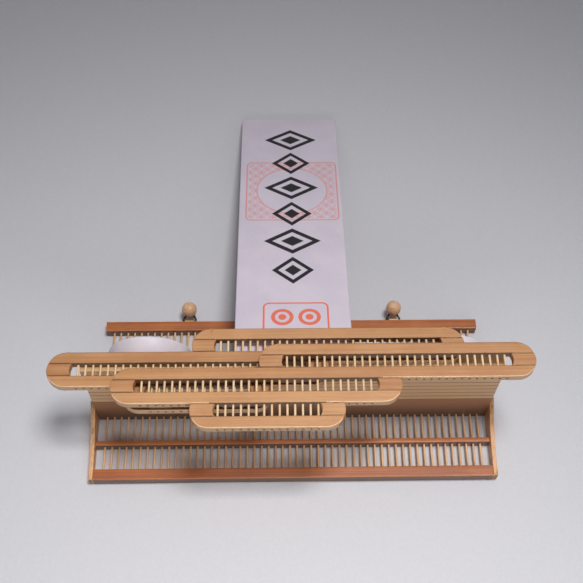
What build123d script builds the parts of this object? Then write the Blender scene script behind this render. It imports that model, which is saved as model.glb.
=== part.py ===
from build123d import *
from math import asin, cos, degrees, radians, sin, tan
from typing import NamedTuple
import os

# A kamidana: a small wall shelf of bamboo bars and round bamboo sticks, with a lattice back,
# two side boards, a shelf board and a fascia of six overlapping cloud shapes in two layers.
# A plain paper-wrapped tablet and two small dishes stand on it, and it hangs on two pins.
# Millimetres. X runs to the right, Y into the wall and Z up.
# The origin is the centre of the top rail's back face, which lies flat against the wall.
# Heights are named as a rise above the foot of the frame, and depths as a reach out of the wall.

# Lattice frame against the wall
frame_width = 250.0
frame_height = 108.4
rail_height = 7.0
rail_reach = 7.0
rail_edge_radius = 0.8
top_rail_end_inset = 3.0
mid_rail_height = 3.2
mid_rail_rise = 22.0

# Side boards, whose front edge is upright at the foot and sweeps forward below the shelf
side_board_thickness = 2.7
side_board_top_reach = 21.0
side_board_sweep_rise = 5.0
side_board_foot_radius = 1.6

# Shelf: a plain rear board in the lattice and a front board of glued strips
shelf_rise = 42.0
shelf_thickness = 4.0
shelf_reach = 71.5
rear_board_reach = 28.0
strip_count = 9
strip_groove_width = 0.6
strip_groove_depth = 0.3

# Round sticks of the lattice, cut with few sides
stick_diameter = 1.3
stick_sides = 6
stick_count = 54
lattice_end_gap = 5.7
hole_clearance = 0.04
blind_hole_depth = 2.0

# Cloud fascia: level bars one slot apart, with rounded ends and sticks through them
bar_height = 7.0
bar_depth = 5.5
slot_height = 7.5
lowest_bar_rise = 1.4
end_block_width = 12.9
slot_end_radius = 7.0
bar_edge_chamfer = 0.4
cloud_stick_pitch = 4.245
cloud_stick_count = 49
stick_end_clearance = 2.0
stick_end_recess = 0.6
layer_gap = 3.5

# Spacers between the two layers
spacer_width = 12.0
spacer_height = 5.0
spacer_inset = 6.0

# Hangers: a strap that bulges into an eye on the top rail and a triangular ring of wire
hanger_spacing = 135.4
ring_wire_diameter = 1.2
ring_corner_radius = 1.3
ring_half_angle = 32.5
ring_wire_sides = 8
ring_height = 9.0
strap_width = 5.8
strap_thickness = 0.6
strap_edge_inset = 0.6
eye_wall = 0.6
eye_clearance = 0.05

# Pins that the rings hang on: a wooden ball on a steel needle
ball_diameter = 9.9
ball_clearance = 0.5
ball_sides = 20
ball_bands = 10
needle_diameter = 1.2
needle_length_in_wall = 8.0
needle_tip_length = 2.0
needle_tip_radius = 0.05

# Tablet that leans on the wall with its foot at the fascia
tablet_width = 69.5
tablet_height = 240.0
tablet_thickness = 6.0
tablet_clearance = 0.3

# Dishes
dish_diameter = 51.4
dish_height = 20.0
dish_wall = 2.4
dish_foot_diameter = 22.0
dish_foot_height = 2.0
dish_foot_wall = 2.2
dish_bulge = 3.2
dish_wall_facets = 5
dish_sides = 40
dish_rim_flat = 0.6
dish_front_gap = 3.2
left_dish_side_gap = 10.4
right_dish_side_gap = 5.9


class Cloud(NamedTuple):
    """One cloud of the fascia: its layer, the number of its lower bar and its two ends in X."""

    layer: str
    lower_bar: int
    left: float
    right: float


clouds = {
    "upper_cloud": Cloud("rear", 3, -58.5, 98.5),
    "left_cloud": Cloud("rear", 2, -140.0, 20.5),
    "low_cloud": Cloud("rear", 1, -97.0, -11.5),
    "right_cloud": Cloud("front", 2, -19.8, 136.2),
    "centre_cloud": Cloud("front", 1, -101.9, 59.9),
    "foot_cloud": Cloud("front", 0, -57.7, 27.9),
}

# Derived places
origin_rise = frame_height - rail_height / 2
inner_half_width = frame_width / 2 - side_board_thickness
top_rail_half_width = frame_width / 2 - top_rail_end_inset
stick_pitch = 2 * (inner_half_width - lattice_end_gap) / (stick_count - 1)
stick_reach = rail_reach / 2
shelf_top_rise = shelf_rise + shelf_thickness
top_rail_rise = frame_height - rail_height
stick_foot_rise = rail_height - blind_hole_depth
stick_top_rise = top_rail_rise + blind_hole_depth
bar_pitch = bar_height + slot_height
cloud_height = 2 * bar_height + slot_height
layer_back = {"rear": shelf_reach, "front": shelf_reach + bar_depth + layer_gap}
ring_top_rise = frame_height + ring_height
dish_reach = shelf_reach - dish_front_gap - dish_diameter / 2
left_dish_x = left_dish_side_gap + dish_diameter / 2 - inner_half_width
right_dish_x = inner_half_width - right_dish_side_gap - dish_diameter / 2


def level(rise):
    """Z of a height that is given above the foot of the frame."""
    return rise - origin_rise


def bar(left, right, back, front, low, high):
    """Straight bar between two X values, two reaches and two rises."""
    body = Box(right - left, front - back, high - low)
    return Pos((left + right) / 2, -(front + back) / 2, level((low + high) / 2)) * body


def stick(x, reach, low, high, clearance=0.0):
    """Upright stick of few sides; with a clearance it is the hole that such a stick sits in."""
    section = RegularPolygon(stick_diameter / 2 + clearance, stick_sides)
    return Pos(x, -reach, level(low)) * extrude(section, high - low)


def drilled(body, places, reach, low, high):
    """Body with a hole for a stick at each X of places."""
    return body - [stick(x, reach, low, high, hole_clearance) for x in places]


def side_plane(x):
    """Plane whose first axis is the reach and second the rise; extruding from it goes to -X."""
    return Plane((x, 0, level(0)), x_dir=(0, -1, 0), z_dir=(-1, 0, 0))


def turned(profile, sides):
    """Body turned round Z from a closed profile of radius and height, with flat sides."""
    turns = [radians(360 * i / sides) for i in range(sides)]
    faces = []
    for (radius, height), (next_radius, next_height) in zip(profile, profile[1:] + profile[:1]):
        for turn, next_turn in zip(turns, turns[1:] + turns[:1]):
            corners = [(radius * cos(t), radius * sin(t), height) for t in (turn, next_turn)]
            corners += [
                (next_radius * cos(t), next_radius * sin(t), next_height) for t in (next_turn, turn)
            ]
            corners = list(dict.fromkeys(corners))
            if len(corners) > 2:
                faces.append(Face(Wire.make_polygon(corners)))
    return Solid(Shell(faces))


def front_edges(body):
    """Edges round the faces of a body that look towards the viewer."""
    return body.faces().group_by(Axis.Y)[0].edges()


# Lattice frame
lattice_places = [(i - (stick_count - 1) / 2) * stick_pitch for i in range(stick_count)]


def build_rail(half_width, low, high, hole_low, hole_high):
    """One rail with rounded long front edges, drilled between two rises for the sticks."""
    body = bar(-half_width, half_width, 0, rail_reach, low, high)
    body = fillet(front_edges(body).filter_by(Axis.X), rail_edge_radius)
    return drilled(body, lattice_places, stick_reach, hole_low, hole_high)


def build_rails():
    """The three rails: blind holes in the outer ones, and holes through the middle one."""
    mid_top = mid_rail_rise + mid_rail_height
    return {
        "top_rail": build_rail(
            top_rail_half_width, top_rail_rise, frame_height, top_rail_rise, stick_top_rise
        ),
        "middle_rail": build_rail(inner_half_width, mid_rail_rise, mid_top, mid_rail_rise, mid_top),
        "bottom_rail": build_rail(inner_half_width, 0, rail_height, stick_foot_rise, rail_height),
    }


def build_side_board(side):
    """Side board: upright at the foot, with an arc that sweeps out to the shelf's top."""
    sweep_height = shelf_top_rise - side_board_sweep_rise
    sweep_out = side_board_top_reach - rail_reach
    radius = (sweep_out**2 + sweep_height**2) / (2 * sweep_out)
    half_turn = asin(sweep_height / radius) / 2
    middle = (
        rail_reach + radius * (1 - cos(half_turn)),
        side_board_sweep_rise + radius * sin(half_turn),
    )
    sweep_start = (rail_reach, side_board_sweep_rise)
    sweep_end = (side_board_top_reach, shelf_top_rise)
    edge = Polyline(sweep_end, (0, shelf_top_rise), (0, 0), (rail_reach, 0), sweep_start)
    profile = make_face(edge + ThreePointArc(sweep_start, middle, sweep_end))
    foot = profile.vertices().sort_by_distance((rail_reach, 0))[0]
    profile = fillet(foot, side_board_foot_radius)
    right_face = {"left": -inner_half_width, "right": frame_width / 2}[side]
    return extrude(side_plane(right_face) * profile, side_board_thickness)


def build_lattice_sticks():
    """Sticks from the bottom rail through the middle rail and the shelf into the top rail."""
    return [stick(x, stick_reach, stick_foot_rise, stick_top_rise) for x in lattice_places]


def build_shelf():
    """The rear board, drilled for the lattice, and the front board of strips."""
    rear = bar(-inner_half_width, inner_half_width, 0, rear_board_reach, shelf_rise, shelf_top_rise)
    rear = drilled(rear, lattice_places, stick_reach, shelf_rise, shelf_top_rise)
    front = bar(
        -inner_half_width, inner_half_width, rear_board_reach, shelf_reach, shelf_rise, shelf_top_rise
    )
    return {"shelf_rear_board": rear, "shelf_front_board": front - build_strip_grooves()}


def build_strip_grooves():
    """Shallow V grooves between the strips of the front board, above and below."""
    strip_width = (shelf_reach - rear_board_reach) / strip_count
    half_width = strip_groove_width / 2
    faces = (
        (shelf_rise, shelf_rise + strip_groove_depth),
        (shelf_top_rise, shelf_top_rise - strip_groove_depth),
    )
    grooves = []
    for i in range(1, strip_count):
        reach = rear_board_reach + i * strip_width
        for face, deep in faces:
            section = Polygon(
                (reach - half_width, face), (reach + half_width, face), (reach, deep), align=None
            )
            grooves.append(extrude(side_plane(inner_half_width) * section, 2 * inner_half_width))
    return grooves


# Cloud fascia
def bar_rise(row):
    """Rise of the underside of a level bar, counted from the lowest."""
    return lowest_bar_rise + row * bar_pitch


def cloud_outline(cloud):
    """Outline of a whole cloud: a long shape with half-round ends, in X and Z."""
    middle_rise = bar_rise(cloud.lower_bar) + cloud_height / 2
    place = Pos((cloud.left + cloud.right) / 2, level(middle_rise))
    return place * SlotOverall(cloud.right - cloud.left, cloud_height)


def slot_outline(cloud):
    """Outline of a cloud's slot, whose ends are shallow arcs; it is taller than the slot."""
    middle_rise = bar_rise(cloud.lower_bar) + cloud_height / 2
    place = Pos((cloud.left + cloud.right) / 2, level(middle_rise))
    return place * SlotOverall(cloud.right - cloud.left - 2 * end_block_width, 2 * slot_end_radius)


def band(low, high):
    """Level band across the whole fascia between two rises."""
    span = 2 * frame_width
    return Pos(0, level((low + high) / 2)) * Rectangle(span, high - low)


def cloud_plane(layer):
    """Plane of a layer's back faces; extruding from it goes towards the viewer."""
    return Plane.XZ.offset(layer_back[layer])


def in_layer(layer):
    """Clouds of one layer."""
    return [cloud for cloud in clouds.values() if cloud.layer == layer]


def layer_places(layer):
    """Stick places of a layer, spread evenly between its outermost slot ends."""
    left = min(cloud.left for cloud in in_layer(layer))
    right = max(cloud.right for cloud in in_layer(layer))
    first = (left + right) / 2 - (cloud_stick_count - 1) / 2 * cloud_stick_pitch
    return [first + i * cloud_stick_pitch for i in range(cloud_stick_count)]


def slots_at(layer, x):
    """Numbers of the lower bars of the slots that a stick at this X crosses."""
    room = end_block_width + stick_end_clearance
    return [c.lower_bar for c in in_layer(layer) if c.left + room < x < c.right - room]


def build_bars(layer):
    """The level bars of a layer, drilled for its sticks."""
    reach = layer_back[layer] + bar_depth / 2
    lowest = min(cloud.lower_bar for cloud in in_layer(layer))
    highest = max(cloud.lower_bar for cloud in in_layer(layer)) + 1
    bars = {}
    for row in range(lowest, highest + 1):
        low = bar_rise(row)
        high = low + bar_height
        owners = [c for c in in_layer(layer) if row in (c.lower_bar, c.lower_bar + 1)]
        outline = Sketch() + [cloud_outline(cloud) for cloud in owners]
        body = extrude(cloud_plane(layer) * (outline & band(low, high)), bar_depth)
        body = chamfer(front_edges(body), bar_edge_chamfer)
        places = [x for x in layer_places(layer) if row in slots_at(layer, x)]
        bars[f"{layer}_bar_{row - lowest + 1}"] = drilled(body, places, reach, low, high)
    return bars


def build_end_blocks(cloud):
    """The two blocks that close a cloud's slot, one at each end between its bars."""
    low = bar_rise(cloud.lower_bar) + bar_height
    outline = (cloud_outline(cloud) & band(low, low + slot_height)) - slot_outline(cloud)
    blocks = extrude(cloud_plane(cloud.layer) * outline, bar_depth)
    return chamfer(front_edges(blocks), bar_edge_chamfer)


def build_cloud_sticks(layer):
    """Sticks of a layer, from just inside the underside of their lowest bar up to the highest."""
    reach = layer_back[layer] + bar_depth / 2
    sticks = []
    for x in layer_places(layer):
        slots = slots_at(layer, x)
        if slots:
            foot = bar_rise(min(slots)) + stick_end_recess
            sticks.append(stick(x, reach, foot, bar_rise(max(slots) + 1)))
    return sticks


def bar_span(layer, row):
    """Ends in X of the bar of a layer at this level."""
    owners = [c for c in in_layer(layer) if row in (c.lower_bar, c.lower_bar + 1)]
    return min(c.left for c in owners), max(c.right for c in owners)


def build_spacers():
    """Blocks that hold the layers apart, near both ends of where their bars overlap."""
    back = layer_back["rear"] + bar_depth
    spacers = []
    for row in (1, 2, 3):
        rear_span = bar_span("rear", row)
        front_span = bar_span("front", row)
        left = max(rear_span[0], front_span[0]) + cloud_height / 2 + spacer_inset
        right = min(rear_span[1], front_span[1]) - cloud_height / 2 - spacer_inset
        low = bar_rise(row) + (bar_height - spacer_height) / 2
        for start in (left, right - spacer_width):
            end = start + spacer_width
            spacers.append(bar(start, end, back, back + layer_gap, low, low + spacer_height))
    return spacers


# Hangers and pins
eye_radius = ring_wire_diameter / 2 + eye_clearance + eye_wall
eye_rise = frame_height + eye_radius
ring_reach = rail_reach / 2
needle_rise = ring_top_rise - ring_wire_diameter - needle_diameter / 2
ball_reach = ring_reach + ring_wire_diameter / 2 + ball_clearance + ball_diameter / 2


def build_strap(x):
    """Strap across the top of the rail that bulges into an eye for the ring's lower wire."""
    half_width = strap_width / 2
    front = rail_reach - strap_edge_inset
    plate_top = frame_height + strap_thickness
    plate = bar(-half_width, half_width, strap_edge_inset, front, frame_height, plate_top)
    across = Plane((-half_width, -ring_reach, level(eye_rise)), z_dir=(1, 0, 0))
    roll = extrude(across * Circle(eye_radius), strap_width)
    bore = extrude(across * Circle(eye_radius - eye_wall), strap_width)
    return Pos(x, 0, 0) * (plate + roll - bore)


def build_ring(x):
    """Triangular wire ring that stands in the strap's eye and hangs on the needle."""
    half_angle = radians(ring_half_angle)
    corner_cut = ring_corner_radius / sin(half_angle) - ring_corner_radius
    apex = level(ring_top_rise) - ring_wire_diameter / 2 + corner_cut
    base = level(eye_rise)
    half_base = (apex - base) * tan(half_angle)
    corners = [(-half_base, base), (half_base, base), (0, apex)]
    path = Plane.XZ.offset(ring_reach) * FilletPolyline(*corners, radius=ring_corner_radius, close=True)
    start = Plane(origin=path @ 0, z_dir=path % 0)
    wire = RegularPolygon(ring_wire_diameter / 2, ring_wire_sides)
    return Pos(x, 0, 0) * sweep(start * wire, path=path)


def build_ball(x):
    """Wooden ball with a small flat at its front and back, drilled to its centre for the needle."""
    radius = ball_diameter / 2
    hole = needle_diameter / 2 + hole_clearance
    turns = [radians(180 * (i + 0.5) / (ball_bands + 1) - 90) for i in range(ball_bands + 1)]
    outside = [(radius * cos(turn), radius * sin(turn)) for turn in turns]
    back = outside[-1][1]
    profile = [(0, outside[0][1]), *outside, (hole, back), (hole, 0), (0, 0)]
    return Pos(x, -ball_reach, level(needle_rise)) * Rotation(-90, 0, 0) * turned(profile, ball_sides)


def build_needle(x):
    """Steel needle from the ball's centre through the ring into the wall, with a ground tip."""
    radius = needle_diameter / 2
    straight = ball_reach + needle_length_in_wall
    tip = straight + needle_tip_length
    profile = [(0, 0), (radius, 0), (radius, straight), (needle_tip_radius, tip), (0, tip)]
    return Pos(x, -ball_reach, level(needle_rise)) * Rotation(-90, 0, 0) * turned(profile, ball_sides)


# Tablet and dishes
def build_tablet():
    """Flat tablet on its back lower edge, with its top at the wall and its foot at the fascia."""
    foot_reach = shelf_reach - tablet_clearance
    lean = asin(foot_reach / tablet_height)
    for _ in range(20):
        lean = asin((foot_reach - tablet_thickness * cos(lean)) / tablet_height)
    body = Box(
        tablet_width, tablet_thickness, tablet_height, align=(Align.CENTER, Align.MAX, Align.MIN)
    )
    foot = Pos(0, -tablet_height * sin(lean), level(shelf_top_rise))
    return foot * Rotation(-degrees(lean), 0, 0) * body


def bowl_line(start, end, bulge):
    """Radius and height of points on an arc that bulges down and outwards, as straight facets."""
    along = (end - start).normalized()
    middle = (start + end) / 2 + Vector(along.Y, -along.X) * bulge
    arc = ThreePointArc(start, middle, end)
    points = [arc @ (i / dish_wall_facets) for i in range(dish_wall_facets + 1)]
    return [(point.X, point.Y) for point in points]


def build_dish(x):
    """Round dish with a foot ring, a curved wall and an open bowl."""
    foot = dish_foot_diameter / 2
    rim = dish_diameter / 2
    floor = dish_foot_height + dish_wall
    outer = bowl_line(Vector(foot, dish_foot_height), Vector(rim, dish_height), dish_bulge)
    inner = bowl_line(Vector(foot, floor), Vector(rim - dish_wall, dish_height), dish_bulge)
    rim_middle = rim - dish_wall / 2
    rim_rise = dish_height + dish_wall / 4
    mouth = [(rim_middle + dish_rim_flat / 2, rim_rise), (rim_middle - dish_rim_flat / 2, rim_rise)]
    recess = foot - dish_foot_wall
    underside = [(0, floor), (0, dish_foot_height), (recess, dish_foot_height), (recess, 0), (foot, 0)]
    dish = turned([*outer, *mouth, *reversed(inner), *underside], dish_sides)
    return Pos(x, -dish_reach, level(shelf_top_rise)) * dish


def solids_of(shape):
    """Every solid of a shape or of a list of shapes."""
    shapes = shape if isinstance(shape, list) else [shape]
    return [solid for item in shapes for solid in item.solids()]


def build_all():
    """Every node of the kamidana by name."""
    nodes = dict(build_rails())
    nodes["left_side_board"] = build_side_board("left")
    nodes["right_side_board"] = build_side_board("right")
    nodes["lattice_sticks"] = build_lattice_sticks()
    nodes.update(build_shelf())
    for layer in layer_back:
        nodes.update(build_bars(layer))
        nodes[f"{layer}_cloud_sticks"] = build_cloud_sticks(layer)
    for name, cloud in clouds.items():
        nodes[f"{name}_end_blocks"] = build_end_blocks(cloud)
    nodes["layer_spacers"] = build_spacers()
    for side, x in (("left", -hanger_spacing / 2), ("right", hanger_spacing / 2)):
        nodes[f"{side}_hanger_strap"] = build_strap(x)
        nodes[f"{side}_hanger_ring"] = build_ring(x)
        nodes[f"{side}_pin_ball"] = build_ball(x)
        nodes[f"{side}_pin_needle"] = build_needle(x)
    nodes["tablet"] = build_tablet()
    nodes["left_dish"] = build_dish(left_dish_x)
    nodes["right_dish"] = build_dish(right_dish_x)
    return nodes


os.makedirs("parts", exist_ok=True)
for name, shape in build_all().items():
    export_step(Compound(solids_of(shape)), f"parts/{name}.step")
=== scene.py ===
import logging
import math
import random
from dataclasses import dataclass
from enum import Enum
from typing import Any, Callable, Iterable, Sequence

import bmesh
import bpy
from mathutils import Matrix, Vector


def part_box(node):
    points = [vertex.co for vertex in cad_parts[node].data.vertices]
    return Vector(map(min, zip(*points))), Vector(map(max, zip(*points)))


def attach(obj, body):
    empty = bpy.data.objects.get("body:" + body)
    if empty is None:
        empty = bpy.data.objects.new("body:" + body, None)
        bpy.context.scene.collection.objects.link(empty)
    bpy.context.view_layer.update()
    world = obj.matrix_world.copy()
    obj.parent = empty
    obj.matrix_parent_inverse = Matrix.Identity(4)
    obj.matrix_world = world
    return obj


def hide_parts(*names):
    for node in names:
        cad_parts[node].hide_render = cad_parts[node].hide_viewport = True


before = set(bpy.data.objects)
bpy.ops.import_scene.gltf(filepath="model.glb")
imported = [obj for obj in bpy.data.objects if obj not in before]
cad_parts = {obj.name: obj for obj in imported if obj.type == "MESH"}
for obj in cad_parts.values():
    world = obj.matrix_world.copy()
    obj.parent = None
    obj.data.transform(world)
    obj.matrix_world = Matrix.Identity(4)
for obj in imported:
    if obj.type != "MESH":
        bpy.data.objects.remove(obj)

# A small bamboo wall shelf with a cloud fascia, dressed for rendering.
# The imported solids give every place; sizes are in millimetres unless a comment says otherwise.

log = logging.getLogger("kamidana")

MM = 0.001
TINY = 1e-6
TONE = "tone"
STRETCH = "stretch"
FACE_MAP = "face_mm"
MIDDLE_TONE = 0.5
TONE_SEED = 11
SMOOTH_ANGLE = math.radians(50)
Point = tuple[float, float]
Place = tuple[float, float, float]
Colour = tuple[float, float, float]
Copies = Sequence[tuple[Vector, Vector]]


def linear(*screen: int) -> Colour:
    """Linear colour of a screen colour given in 0 to 255."""
    parts = [value / 255 for value in screen]
    return tuple(p / 12.92 if p <= 0.04045 else ((p + 0.055) / 1.055) ** 2.4 for p in parts)


def darker(colour: Colour, share: float) -> Colour:
    """Colour with only this share of its light."""
    return tuple(share * value for value in colour)


def span(node: str) -> tuple[Vector, Vector]:
    """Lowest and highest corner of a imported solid, in millimetres."""
    low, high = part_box(node)
    return Vector(low) / MM, Vector(high) / MM


def arc(centre: Point, radius: float, start: float, end: float, count: int) -> list[Point]:
    """Points of an arc between two angles in degrees, both ends included."""
    turns = [math.radians(start + (end - start) * i / count) for i in range(count + 1)]
    return [(centre[0] + radius * math.cos(t), centre[1] + radius * math.sin(t)) for t in turns]


def placed(name: str, data: bpy.types.ID) -> bpy.types.Object:
    """New object in the scene with this mesh, lamp or camera."""
    made = bpy.data.objects.new(name, data)
    bpy.context.scene.collection.objects.link(made)
    return made


def baked(source: bpy.types.Object) -> None:
    """Replaces an object's mesh by what its modifiers give, and removes them."""
    graph = bpy.context.evaluated_depsgraph_get()
    mesh = bpy.data.meshes.new_from_object(source.evaluated_get(graph))
    source.modifiers.clear()
    source.data = mesh


def taken(source: bpy.types.Object, *tools: bpy.types.Object) -> bpy.types.Mesh:
    """Baked mesh of an object, which is removed with the objects that shaped it."""
    baked(source)
    mesh = source.data
    for made in (source, *tools):
        bpy.data.objects.remove(made)
    return mesh


class Axis(Enum):
    """Direction, as the index of a coordinate."""

    X = 0
    Y = 1
    Z = 2


class Mark(Enum):
    """What a face is, as the name of the mesh attribute that is above 0 on such faces."""

    EDGE = "edge"
    UNDER = "under"
    SPECIAL = "special"


def operator(operation: str, *first: float) -> Callable[["Wire", Any], "Wire"]:
    """Method of a wire that adds one Math node, with fixed values before the other value."""
    def applied(wire: "Wire", other: Any) -> "Wire":
        """Result of the node for this wire and another value."""
        return wire.math(operation, *first, other)
    return applied


class Wire:
    """A socket of a node tree that can be used in Python expressions."""

    __add__ = __radd__ = operator("ADD")
    __sub__ = operator("SUBTRACT")
    __rsub__ = operator("MULTIPLY_ADD", -1.0)
    __mul__ = __rmul__ = operator("MULTIPLY")
    __truediv__ = operator("DIVIDE")
    most = operator("MAXIMUM")

    def __init__(self, tree: "Tree", socket: bpy.types.NodeSocket) -> None:
        """Keeps the tree and the output socket that carries the value."""
        self.tree = tree
        self.socket = socket

    def math(self, operation: str, *others: Any) -> "Wire":
        """Result of a Math node on this wire and further values or wires, in the node's order."""
        values = {0: self} | {i + 1: value for i, value in enumerate(others)}
        return self.tree.node("ShaderNodeMath", {"operation": operation}, values)[0]

    def __abs__(self) -> "Wire":
        """Size of this wire without its sign."""
        return self.math("ABSOLUTE")

    def fraction(self) -> "Wire":
        """Part of this wire after the decimal point."""
        return self.math("FRACT")

    def length(self, other: "Wire") -> "Wire":
        """Length of the line whose two parts are this wire and another."""
        return (self * self + other * other).math("SQRT")

    def ramp(self, low: float, high: float) -> "Wire":
        """This wire rescaled so that low gives 0 and high gives 1, held between the two."""
        ends = {"Value": self, "From Min": low, "From Max": high}
        return self.tree.node("ShaderNodeMapRange", {"interpolation_type": "SMOOTHSTEP"}, ends)[0]


class Tree:
    """A node tree under construction."""

    def __init__(self, nodes: bpy.types.NodeTree) -> None:
        """Keeps the node tree that new nodes go into."""
        self.nodes = nodes

    def node(self, kind: str, settings: dict[str, Any] | None = None,
             sockets: dict[Any, Any] | None = None) -> list[Wire]:
        """Adds a node of any kind.

        Args:
            kind: the node's type.
            settings: properties that are set before the sockets.
            sockets: values or wires by the input's name or number.

        Returns:
            A wire for each enabled output.
        """
        made = self.nodes.nodes.new(kind)
        for name, value in (settings or {}).items():
            setattr(made, name, value)
        for key, value in (sockets or {}).items():
            socket = made.inputs[key]
            if isinstance(value, Wire):
                self.nodes.links.new(value.socket, socket)
            else:
                socket.default_value = value
        return [Wire(self, out) for out in made.outputs if out.enabled]

    def vector(self, x: Any, y: Any, z: Any) -> Wire:
        """Vector of three values or wires."""
        return self.node("ShaderNodeCombineXYZ", sockets={0: x, 1: y, 2: z})[0]

    def noise(self, place: Wire, scale: float, detail: float = 3.0, rough: float = 0.5) -> Wire:
        """Noise value at a place, mostly between 0.3 and 0.7."""
        sockets = {"Vector": place, "Scale": scale, "Detail": detail, "Roughness": rough}
        return self.node("ShaderNodeTexNoise", {}, sockets)[0]

    def full_noise(self, place: Wire, scale: float, detail: float = 3.0,
                   rough: float = 0.5) -> Wire:
        """Noise value at a place, spread so that it reaches 0 and 1."""
        return self.noise(place, scale, detail, rough).ramp(0.3, 0.7)

    def mix(self, amount: Any, first: Any, second: Any) -> Wire:
        """Blend of two colours, which are wires or three numbers."""
        one, two = [c if isinstance(c, Wire) else (*c, 1.0) for c in (first, second)]
        settings = {"data_type": "RGBA", "clamp_factor": True}
        return self.node("ShaderNodeMix", settings, {0: amount, 6: one, 7: two})[0]


class Surface(Tree):
    """Node tree of one material, with the values that every finish reads."""

    def __init__(self, name: str) -> None:
        """Starts a new material and keeps its Object coordinates, in millimetres."""
        self.material = bpy.data.materials.new(name)
        self.material.use_nodes = True
        self.material.node_tree.nodes.clear()
        super().__init__(self.material.node_tree)
        metres = {0: self.node("ShaderNodeTexCoord")[3], "Scale": 1 / MM}
        self.place = self.node("ShaderNodeVectorMath", {"operation": "SCALE"}, metres)[0]

    def split(self, vector: Wire) -> list[Wire]:
        """The three parts of a vector."""
        return self.node("ShaderNodeSeparateXYZ", sockets={0: vector})

    def attribute(self, name: str) -> Wire:
        """Value of a mesh attribute, from 0 to 1."""
        return self.node("ShaderNodeAttribute", {"attribute_name": name})[2]

    def mark(self, mark: Mark) -> Wire:
        """Mark of the face."""
        return self.attribute(mark.value)

    def shader(self, plain: dict[str, Any], colour: Any, roughness: Any,
               height: Wire | None = None, bump: float = 1.0) -> Wire:
        """Adds the shader.

        Args:
            plain: sockets of the shader with one value all over.
            colour: base colour.
            roughness: roughness.
            height: height in millimetres for the bump, or None.
            bump: strength of the bump.

        Returns:
            The shader's output.
        """
        sockets = plain | {"Base Color": colour, "Roughness": roughness}
        if height is not None:
            relief = {"Strength": bump, "Distance": MM, "Height": height}
            sockets["Normal"] = self.node("ShaderNodeBump", {}, relief)[0]
        return self.node("ShaderNodeBsdfPrincipled", {}, sockets)[0]

    def finish(self, shader: Wire) -> bpy.types.Material:
        """Joins a shader to the output and gives the finished material."""
        self.node("ShaderNodeOutputMaterial", {}, {"Surface": shader})
        return self.material


@dataclass(frozen=True)
class Bamboo:
    """Finish of split bamboo: long fibres, streaks, short dark vessels and painted edge lines, a
    highlight or a dark joint.
    """

    name: str
    pale: Colour
    deep: Colour
    under: Colour
    # edge colour: a painted highlight on the bars, blocks and rails; a dark joint line on the
    # strips
    edge: Colour
    grain: Axis = Axis.X
    fibre_length: float = 34.0
    fibre_width: float = 0.16
    streak_length: float = 170.0
    streak_width: float = 1.6
    vessel_length: float = 3.2
    vessel_width: float = 0.14
    cloud_width: float = 22.0
    blotch_length: float = 7.0
    blotch_width: float = 3.2
    vessel: float = 0.35
    tone_spread: float = 0.3
    tone_shift: float = 900.0
    blotch: float = 0.0
    wall_fade: float = 0.0
    roughness: float = 0.42
    coat: float = 0.15

    def build(self) -> bpy.types.Material:
        """Makes the material, with its fibres along the grain axis."""
        surface = Surface(self.name)
        parts = surface.split(surface.place)
        first, second = [parts[i] for i in range(3) if i != self.grain.value]
        edge, under, hole = [surface.mark(mark) for mark in Mark]
        tone = surface.attribute(TONE)
        shifted = parts[self.grain.value] + tone * self.tone_shift

        def stretched(length: float, width: float) -> Wire:
            """Place stretched along the fibres."""
            return surface.vector(shifted / length, first / width, second / width)

        fibre = surface.full_noise(stretched(self.fibre_length, self.fibre_width), 1.0, 4.0, 0.65)
        streak = surface.full_noise(stretched(self.streak_length, self.streak_width), 1.0, 4.0, 0.6)
        cloudy = surface.full_noise(stretched(self.fibre_length, self.cloud_width), 1.0, 3.0, 0.6)
        vessels = surface.noise(stretched(self.vessel_length, self.vessel_width), 1.0, 1.0, 0.4)
        vessels = vessels.ramp(0.66, 0.78)
        depth = fibre * 0.4 + streak * 0.3 + cloudy * 0.3 + (tone - 0.5) * self.tone_spread
        colour = surface.mix(depth.ramp(0.08, 0.92), self.pale, self.deep)
        dark = darker(self.deep, 0.45)
        colour = surface.mix(vessels * self.vessel, colour, dark)
        if self.blotch:
            spots = surface.noise(stretched(self.blotch_length, self.blotch_width), 1.0, 4.0, 0.65)
            colour = surface.mix(spots.ramp(0.5, 0.72) * self.blotch, colour, dark)
        below = surface.mix(fibre * 0.55, self.under, darker(self.under, 0.62))
        # painted shade: the underside darkens towards the wall, where its corner with the lattice
        # lies in shade
        if self.wall_fade:
            below = surface.mix(parts[1].ramp(-24.0, 2.0) * self.wall_fade, below, dark)
        colour = surface.mix(under, colour, below)
        # painted highlight on the lower bevels, or a dark joint line where the edge colour is dark
        colour = surface.mix(edge * (0.45 + 0.55 * fibre), colour, self.edge)
        # special mark: dark stick holes, and painted shade on faces that little light reaches
        colour = surface.mix(hole, colour, darker(self.deep, 0.16))
        roughness = self.roughness + 0.16 * fibre + 0.1 * vessels - 0.06 * edge
        height = 0.022 * fibre + 0.012 * streak - 0.05 * vessels
        plain = {"Coat Weight": self.coat, "Coat Roughness": 0.3, "IOR": 1.48}
        return surface.finish(surface.shader(plain, colour, roughness, height, 0.8))


@dataclass(frozen=True)
class TurnedWood:
    """Finish of a small turned ball of pale wood, with rings round the grain."""

    name: str
    pale: Colour
    deep: Colour

    def build(self) -> bpy.types.Material:
        """Makes the material."""
        surface = Surface(self.name)
        x, y, z = surface.split(surface.place)
        warp = surface.noise(surface.vector(x / 9, y / 9, z / 30), 1.0, 2.0)
        rings = ((x * 0.5 + y * 0.9 + warp * 5.0) * 0.9).fraction()
        ring = abs(rings - 0.5).ramp(0.08, 0.5)
        fibre = surface.full_noise(surface.vector(x / 0.25, y / 0.25, z / 6), 1.0, 3.0, 0.6)
        colour = surface.mix(ring * 0.55 + fibre * 0.35, self.pale, self.deep)
        height = 0.015 * fibre + 0.008 * ring
        plain = {"Coat Weight": 0.25, "Coat Roughness": 0.25}
        return surface.finish(surface.shader(plain, colour, 0.4 + 0.14 * fibre, height, 0.7))


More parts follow.
